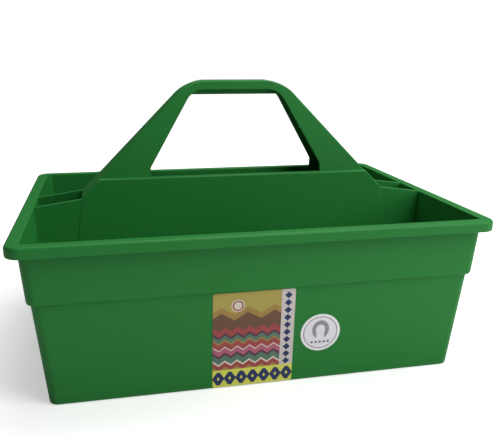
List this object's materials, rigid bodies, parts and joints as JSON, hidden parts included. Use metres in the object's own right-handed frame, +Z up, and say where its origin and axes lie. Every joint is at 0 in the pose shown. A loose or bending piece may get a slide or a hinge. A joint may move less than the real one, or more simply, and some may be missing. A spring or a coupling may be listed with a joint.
{
  "type": "grooming tote",
  "caption": "Moulded plastic grooming tote: tapered stepped tub with a flat rim, a tall hollow divider with end pockets, and a trapezoid carrying handle over an open hand window.",
  "frame": {"origin": "centre of the base in plan, on the surface that the tote stands on", "axes": "+X along the long side to the viewer's right, -Y towards the front wall with the stickers, +Z up towards the grip"},
  "size_m": [0.457, 0.3356, 0.289],
  "materials": {
    "green_plastic": "satin moulded polyethylene",
    "label_paper": "printed and varnished",
    "sticker_paper": "printed and varnished"
  },
  "bodies": {
    "root": {"front_wall": "green_plastic", "back_wall": "green_plastic", "left_end_wall": "green_plastic", "right_end_wall": "green_plastic", "rim_flange": "green_plastic", "front_floor": "green_plastic", "back_floor": "green_plastic", "front_divider_panel": "green_plastic", "back_divider_panel": "green_plastic", "left_spine_end": "green_plastic", "right_spine_end": "green_plastic", "left_end_pocket": "green_plastic", "right_end_pocket": "green_plastic", "front_handle_plate": "green_plastic", "back_handle_plate": "green_plastic", "handle_band": "green_plastic", "grip_rib": "green_plastic", "left_leg_rib": "green_plastic", "right_leg_rib": "green_plastic", "product_label": "label_paper", "round_sticker": "sticker_paper"}
  },
  "joints": []
}
